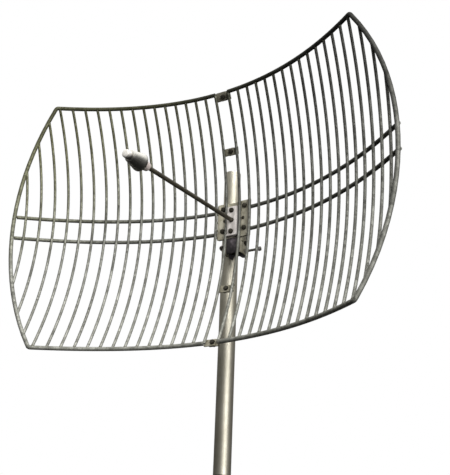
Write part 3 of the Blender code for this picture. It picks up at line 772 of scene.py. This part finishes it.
def buildHub():
    h = hub
    low, high = h["middle"] - h["tall"] / 2, h["middle"] + h["tall"] / 2
    rows = h["bolt rows"]
    handed = (("left", -1), ("right", 1))
    backHoles = []
    for side, sign in handed:
        edges = sorted((sign * h["inner"], sign * h["outer"]))
        holes = [(sign * h["bolt x"], z, h["bolt hole"]) for z in rows]
        holes.append((sign * h["rivet x"], h["rivet z"], h["rivet"] + gap))
        plate = placed(sheetPlate(rectangle(*edges, low, high), h["plate"], holes), onY(plateBack))
        finishPiece(f"{side}_plate", plate, "head", "plate", [f"{side}_hub_plate"])
        backHoles.append(holes)
    left, right = backHoles
    holes = left[:2] + right[:2] + left[2:] + right[2:] + centreHoles
    back = sheetPlate(rectangle(-h["back half"], h["back half"], low, high), h["sheet"], holes)
    back = placed(back, onY(backBack))
    finishPiece("back_plate", back, "head", "plate", ["hub_back_plate"])

    half, front = h["channel half"], h["channel front"]
    channelLow = h["channel middle"] - h["channel tall"] / 2
    channelHigh = h["channel middle"] + h["channel tall"] / 2
    channel = foldedChannel(
        half, front, backFront - gap, channelLow, channelHigh, h["sheet"], h["fold"], centreHoles,
    )
    inset = h["lip inset"]
    outline = rectangle(-half + inset, half - inset, front + h["edge"], h["lip back"])
    lip = sheetPlate(outline, h["sheet"], (), 0.0, h["lip edge"])
    mergeInto(channel, lip, Matrix.Translation((0, 0, channelLow)))
    channel = placed(channel, Matrix.Translation(vertex))
    finishPiece("centre_channel", channel, "head", "zinc", ["hub_channel"])

    bolts = bmesh.new()
    for side, sign in handed:
        for z in rows:
            x = sign * h["bolt x"]
            mergeInto(bolts, boltShape(spot(x, plateFront - gap, z), spot(x, backBack + gap, z)))
    nodes = [f"{side}_hub_bolt_{row}" for side, sign in handed for row in ("upper", "lower")]
    finishPiece("hub_bolts", bolts, "head", "black steel", nodes)
    rivet = [*h["rivet head"], (h["rivet"], 0), (h["rivet"], backBack - plateFront)]
    for side, sign in handed:
        seat = alongZ(spot(sign * h["rivet x"], plateFront - gap, h["rivet z"]), (0, 1, 0))
        made = placed(turned(rivet, 0, smallSides), seat)
        finishPiece(f"{side}_rivet", made, "head", "black steel", [f"{side}_hub_rivet"])
    centreBolts = bmesh.new()
    for z in centres:
        mergeInto(centreBolts, boltShape(spot(0, front - gap, z), spot(0, webBack + gap, z)))
    nodes = ["centre_bolt_upper", "centre_bolt_lower"]
    finishPiece("centre_bolts", centreBolts, "head", "black steel", nodes)

    welds = bmesh.new()
    near, far = h["weld ends"]
    for side, sign in handed:
        for number, (inward, aside) in enumerate(zip((1, -1), h["weld sides"])):
            x = sign * (wireX(number) + inward * aside)
            for z in (low + near, low + far, h["middle"], high - far, high - near):
                bead(welds, spot(x, plateFront - h["weld out"], z), (0, 0, 1), *h["weld"])
    finishPiece("hub_welds", welds, "head", "weld", sharp=180)


buildHub()
print("hub built")

# Tilt bracket

tilt = {
    "y": 0.025, "z": -0.0695, "lock": 0.020, "swing": 10.0, "slack": 1.5, "arc steps": 8,
    "cheek in": 0.0185, "cheek edge": 0.0004, "arc room": 0.0001, "slot": (0.0065, 0.0155, -0.0503, -0.0477),
    "web top": 0.047, "web bottom": -0.034, "web inset": 0.001,
    "step": -0.0390, "step rise": 0.004, "eye": 0.009, "eye arc": range(-90, 21, 10), "foot": -0.0770,
    # the cheek's rear edge, (y, z) from the eye up
    "rear": [
        (0.0355, -0.055), (0.0345, -0.047), (0.028, -0.040), (0.025, -0.030), (0.018, 0.0), (0.0158, 0.047),
    ],
    "front": 0.0035, "front bottom": -0.0770, "front corner": 0.002, "front edge": 0.0006,
}
pivot = (tilt["y"], tilt["z"])


def arcSlot():
    # the lock bolt's slot, an arc about the pivot with round ends
    steps = tilt["arc steps"]
    half = hub["bolt hole"] + tilt["arc room"]
    reach = radians(tilt["swing"] + tilt["slack"])
    angles = [pi / 2 - reach + 2 * reach * i / steps for i in range(steps + 1)]
    outer = [around(pivot, tilt["lock"] + half, a) for a in angles]
    inner = [around(pivot, tilt["lock"] - half, a) for a in angles]
    ends = []
    for a, sign in ((angles[-1], 1), (angles[0], -1)):
        middle = around(pivot, tilt["lock"], a)
        ends.append([around(middle, half, a + sign * i * pi / steps) for i in range(1, steps)])
    return outer + ends[0] + inner[::-1] + ends[1][::-1]


def cheekOutline(front):
    t = tilt
    fore = [(front, t["web top"]), (front, t["step"]), (t["front"], t["step"] - t["step rise"])]
    eye = [around(pivot, t["eye"], radians(a)) for a in t["eye arc"]]
    return [*fore, (t["front"], t["foot"]), *eye, *t["rear"]]


def buildTilt():
    t, h = tilt, hub
    shape = bmesh.new()
    outside = t["cheek in"] + h["sheet"]
    half = outside - t["web inset"]
    outline = rectangle(-half, half, t["web bottom"], t["web top"])
    mergeInto(shape, sheetPlate(outline, h["sheet"], centreHoles, 0.0), onY(webBack))
    slots = [arcSlot(), rectangle(*t["slot"])]
    for low in (-outside, t["cheek in"]):
        hole = (*pivot, h["bolt hole"])
        cheek = sheetPlate(cheekOutline(webFront), h["sheet"], [hole], 0.0, t["cheek edge"], slots)
        mergeInto(shape, cheek, onX(low))
    finishPiece("tilt_cheeks", shape, "head", "cheek", ["tilt_bracket"])
    half, top = t["cheek in"] - gap, h["middle"] - h["tall"] / 2 - gap
    outline = rectangle(-half, half, t["front bottom"], top)
    front = sheetPlate(outline, h["sheet"], (), t["front corner"], t["front edge"])
    front = placed(front, onY(t["front"] + h["sheet"]))
    finishPiece("front_plate", front, "head", "black paint paler up", ["tilt_front_plate"])


buildTilt()
print("tilt bracket built")

# Feed

feed = {
    "z": 0.0023, "droop": 0.5, "boom": 0.0049, "boom edge": 0.0003, "boom back": -0.021,
    "back": 0.332, "disc": 0.354, "front": 0.391,
    # (radius, height) profiles: collar from "back", shell from "disc", tip from "front"
    "collar": [
        (0.0089, 0.0), (0.0095, 0.0006), (0.0101, 0.0050), (0.0104, 0.0052), (0.0111, 0.0135),
        (0.0114, 0.0158), (0.0115, 0.0165), (0.0115, 0.0213), (0.0111, 0.0217),
    ],
    "shell": [
        (0.0180, 0.0), (0.0190, 0.0003), (0.0195, 0.0011), (0.0195, 0.0054), (0.0193, 0.0066),
        (0.0189, 0.0080), (0.0174, 0.0148), (0.0159, 0.0216), (0.0144, 0.0284), (0.0130, 0.0352),
        (0.0126, 0.0364), (0.0116, 0.0370),
    ],
    "tip": [
        (0.0065, 0.0003), (0.0065, 0.0028), (0.0084, 0.0034), (0.0090, 0.0042), (0.0090, 0.0115),
        (0.0086, 0.0135), (0.0072, 0.0147), (0.0055, 0.0150),
    ],
    # the connector's profiles, heights from its front: flange, one ridge, mouth, insulator
    "flange": [
        (0.0076, 0.0), (0.0080, -0.0004), (0.0080, -0.0036), (0.0076, -0.0040), (0.0064, -0.0045),
        (0.0068, -0.0055),
    ],
    "ridge": [(0.0062, -0.0064), (0.0068, -0.0070)], "ridges": 9, "ridge pitch": 0.00125,
    "mouth": [
        (0.0064, -0.0192), (0.0061, -0.0195), (0.0052, -0.0195), (0.0049, -0.0192), (0.0049, -0.0120),
    ],
    "core": [
        (0.0046, -0.0119), (0.0046, -0.0150), (0.0044, -0.0153), (0.0020, -0.0153), (0.0019, -0.0140),
    ],
    "nut across": 0.0104, "nut": 0.006, "nut soft": 0.0009, "nut off": 0.0007,
}


def buildFeed():
    f = feed
    droop = Matrix.Rotation(pi / 2 + radians(f["droop"]), 4, "X")
    place = Matrix.Translation(spot(0, 0, f["z"])) @ droop

    radius, edge, low = f["boom"], f["boom edge"], f["boom back"]
    rod = [(radius - edge, low), (radius, low + edge), (radius, f["back"] - gap)]
    boom = turned(rod, 0, sides=32, place=place)
    finishPiece("boom", boom, "head", "boom", ["feed_boom"])
    collar = turned(f["collar"], f["back"], sides=48, place=place)
    finishPiece("collar", collar, "head", "cream", ["feed_collar"])
    body = turned(f["shell"], f["disc"], sides=64, place=place)
    finishPiece("feed_shell", body, "head", "polished", ["feed_body"])
    tip = turned(f["tip"], f["front"], sides=48, place=place)
    finishPiece("tip_cap", tip, "head", "scuffed nickel", ["feed_tip"])

    nut = hexagon(f["nut across"], f["nut"], f["nut soft"], radius + gap)
    seat = Matrix.Translation((0, 0, -webBack - f["nut off"] - f["nut"]))
    finishPiece("boom_lock_nut", placed(nut, place @ seat), "head", "nickel", ["boom_nut"])

    back = low - gap
    ridges = [(r, z - i * f["ridge pitch"]) for i in range(f["ridges"]) for r, z in f["ridge"]]
    socket = turned([*f["flange"], *ridges, *f["mouth"]], back, sides=40, place=place)
    finishPiece("socket_shell", socket, "head", "nickel", ["cable_connector"])
    core = turned(f["core"], back, sides=32, place=place)
    finishPiece("socket_core", core, "head", "insulator", ["cable_connector"])


buildFeed()
print("feed built")

# Mast and its clamp

mast = {
    "radius": 0.020, "wall": 0.0025, "length": 0.735, "edge": 0.0004, "plug": 0.012, "plug edge": 0.0006,
}


def buildMast():
    m = mast
    outer, inner, top, edge = m["radius"], m["radius"] - m["wall"], m["length"], m["edge"]
    tube = spinProfile([
        (inner, 0), (outer - edge, 0), (outer, edge), (outer, top / 3), (outer, 2 * top / 3),
        (outer, top - edge), (outer - edge, top), (inner, top), (inner, 0),
    ], sides=96)
    finishPiece("tube", tube, "mast", "tube", ["mast_tube"])
    radius, edge = inner - gap, m["plug edge"]
    foot = turned([(radius - edge, 0), (radius, edge), (radius, m["plug"])], 0, sides=64)
    finishPiece("foot_plug", foot, "mast", "cap", ["mast_foot_plug"])


buildMast()

clamp = {
    "plate x": -0.024, "plate": 0.004, "plate corner": 0.003, "plate edge": 0.0005,
    # (y, z) outlines of the side plate and of the ears
    "side": [
        (0.0465, -0.058), (0.088, -0.058), (0.100, -0.046), (0.100, 0.032),
        (0.040, 0.032), (0.040, -0.038), (0.0465, -0.044),
    ],
    "ear": [
        (0.0165, -0.044), (0.0165, -0.070), (0.0142, -0.077), (0.0142, -0.0835),
        (0.030, -0.0835), (0.040, -0.066), (0.040, -0.044),
    ],
    "ear half": 0.0175, "edge": 0.0006, "back": 0.040, "web": (-0.066, -0.044), "web edge": 0.0008,
    "arm": (-0.0640, -0.0450), "arm back": 0.0595, "arm corner": 0.001, "arm inset": 0.001,
    "heights": {"upper": 0.020, "lower": -0.035}, "rod end": -0.0135, "screw inside": 0.010,
    "rod sides": 20, "bend steps": 28,
    "saddle": 0.018, "saddle half": 0.0165, "saddle edge": 0.0004, "hug": range(50, -51, -5),
    "bolt end": 0.064, "bolt plain": 0.045, "end nut": 0.0625,
    "washer": 0.0068, "washer edge": 0.0003, "washers": 0.0048,
}
toRight = (1, 0, 0)
mastAt = (-vertex.x, -vertex.y)
bend = mast["radius"] + gap + six["radius"]
legs = (mastAt[1] - bend, mastAt[1] + bend)


def buildBracket():
    c, t, h = clamp, tilt, hub
    shape = bmesh.new()
    holes = [(y, z, h["bolt hole"]) for y in legs for z in c["heights"].values()]
    side = sheetPlate(c["side"], c["plate"], holes, c["plate corner"], c["plate edge"])
    mergeInto(shape, side, onX(c["plate x"]))
    holes = [(t["y"], z, h["bolt hole"]) for z in (t["z"], t["z"] + t["lock"])]
    half, sheet = c["ear half"], h["sheet"]
    for x in (-half, half - sheet):
        mergeInto(shape, sheetPlate(c["ear"], sheet, holes, 0.0, c["edge"]), onX(x))
    web = sheetPlate(rectangle(-half, half, *c["web"]), sheet, (), 0.0, c["web edge"])
    mergeInto(shape, web, onY(c["back"]))
    low, high = c["arm"]
    outline = rectangle(c["plate x"] + c["arm inset"], 0.0, c["back"] - sheet / 2, c["arm back"])
    arm = sheetPlate(outline, high - low, (), c["arm corner"], c["edge"])
    mergeInto(shape, arm, Matrix.Translation(spot(0, 0, low)))
    finishPiece("bracket", shape, "mast", "black paint", ["mast_bracket"])


def buildUBolts():
    c, steps = clamp, clamp["bend steps"]
    nutSide = c["plate x"] + c["plate"] + gap
    screwSide = nutSide - c["screw inside"]
    back, wide = c["plate x"] - gap, c["saddle half"]
    curve = [around(mastAt, mast["radius"] + gap, radians(a)) for a in c["hug"]]
    outline = [(back, mastAt[1] - wide), (back, mastAt[1] + wide), *curve]
    for place, z in c["heights"].items():
        block = sheetPlate(outline, c["saddle"], (), 0.0, c["saddle edge"])
        block = placed(block, Matrix.Translation(spot(0, 0, z - c["saddle"] / 2)))
        finishPiece(f"saddle_{place}", block, "mast", "zinc", [f"mast_saddle_{place}"])
        angles = [pi * i / steps for i in range(steps + 1)]
        arc = [spot(mastAt[0] - bend * sin(a), mastAt[1] - bend * cos(a), z) for a in angles]
        path = [spot(nutSide, legs[0], z), *arc, spot(nutSide, legs[1], z)]
        loop = sweepRod(path, six["radius"], c["rod sides"])
        for y in legs:
            screw = threadedRod(c["rod end"] - screwSide, six["radius"], six["pitch"])
            mergeInto(loop, screw, alongZ(spot(screwSide, y, z), toRight))
            nut = hexagon(six["across"], six["nut"], six["soft"])
            mergeInto(loop, nut, alongZ(spot(nutSide, y, z), toRight))
        finishPiece(f"u_bolt_{place}_rod", loop, "mast", "zinc", [f"u_bolt_{place}"])


def atPivot(x):
    return alongZ(spot(x, *pivot), toRight)


def buildPivot():
    c, t = clamp, tilt
    outside = t["cheek in"] + hub["sheet"] + gap
    under = -outside - c["washers"]
    pin = bmesh.new()
    mergeInto(pin, hexagon(six["across"], six["head"], six["soft"]), atPivot(under - six["head"]))
    screw = threadedRod(c["bolt end"] - under, six["radius"], six["pitch"], c["bolt plain"])
    mergeInto(pin, screw, atPivot(under))
    wide, edge, thick = c["washer"], c["washer edge"], c["washers"] / 2
    washer = [(wide - edge, 0), (wide, edge), (wide, thick - edge), (wide - edge, thick)]
    for base in (under, under + thick):
        mergeInto(pin, turned(washer, 0, sides=32), atPivot(base))
    finishPiece("pivot_rod", pin, "mast", "boom", ["pivot_bolt"])
    nuts = (
        ("pivot_lock_nut", "pivot_nut", outside),
        ("pivot_far_nut", "pivot_end_nut", c["end nut"] - six["nut"]),
    )
    for name, node, x in nuts:
        nut = placed(hexagon(six["across"], six["nut"], six["soft"], six["radius"] + gap), atPivot(x))
        finishPiece(name, nut, "mast", "zinc", [node])
    lockZ = t["z"] + t["lock"]
    lock = boltShape(spot(outside, t["y"], lockZ), spot(-outside, t["y"], lockZ))
    finishPiece("lock_screw", lock, "mast", "black steel", ["lock_bolt"])


buildBracket()
buildUBolts()
buildPivot()
print("mast and clamp built")

# Studio

studio = {
    "floor": 1.3, "floor at": (0.0, -0.1, -1.0), "sky strength": 1.35,
    # height of the view direction, then the grey there
    "sky": [(0.30, "#222221"), (1.0, "#ffffff"), (0.50, "#3e3e3c"), (0.66, "#767674"), (0.80, "#dededc")],
    "lamps": {
        "key": {"place": (1.6, -2.6, 2.2), "size": (1.8, 1.8), "power": 30.0},
        "side": {"place": (2.6, -1.6, 1.0), "size": (2.0, 3.4), "power": 144.0},
    },
}


def buildStudio():
    s = studio
    floor = bmesh.new()
    bmesh.ops.create_circle(
        floor, cap_ends=True, segments=96, radius=s["floor"], matrix=Matrix.Translation(s["floor at"]),
    )
    mesh = bpy.data.meshes.new("floor")
    floor.to_mesh(mesh)
    floor.free()
    mesh.materials.append(finishes["floor"])
    stage = bpy.data.objects.new("floor", mesh)
    scene.collection.objects.link(stage)
    stage.visible_glossy = False
    stage.visible_diffuse = False

    world = bpy.data.worlds.new("studio")
    scene.world = world
    world.use_nodes = True
    tree = world.node_tree
    tree.nodes.clear()
    way = addNode(tree, "ShaderNodeTexCoord").outputs["Generated"]
    height = addNode(tree, "ShaderNodeSeparateXYZ", inputs={"Vector": way}).outputs["Z"]
    grey = ramp(tree, remap(tree, height, -1.0, 1.0, 0.0, 1.0), s["sky"])
    sky = addNode(tree, "ShaderNodeBackground", inputs={"Color": grey, "Strength": s["sky strength"]})
    behind = addNode(tree, "ShaderNodeBackground", inputs={"Color": (1, 1, 1, 1), "Strength": 1.0})
    seen = addNode(tree, "ShaderNodeLightPath").outputs["Is Camera Ray"]
    both = addNode(tree, "ShaderNodeMixShader", inputs={0: seen, 1: sky.outputs[0], 2: behind.outputs[0]})
    addNode(tree, "ShaderNodeOutputWorld", inputs={"Surface": both.outputs[0]})

    for name, spec in s["lamps"].items():
        lamp = bpy.data.lights.new(name, "AREA")
        lamp.shape = "RECTANGLE"
        lamp.size, lamp.size_y = spec["size"]
        lamp.energy = spec["power"]
        light = bpy.data.objects.new(name, lamp)
        place = Vector(spec["place"])
        turn = (vertex - place).to_track_quat("-Z", "Y").to_matrix().to_4x4()
        light.matrix_world = Matrix.Translation(place) @ turn
        light.visible_camera = False
        scene.collection.objects.link(light)

    scene.view_settings.view_transform = "Standard"
    scene.view_settings.look = "None"


buildStudio()
print("studio set")
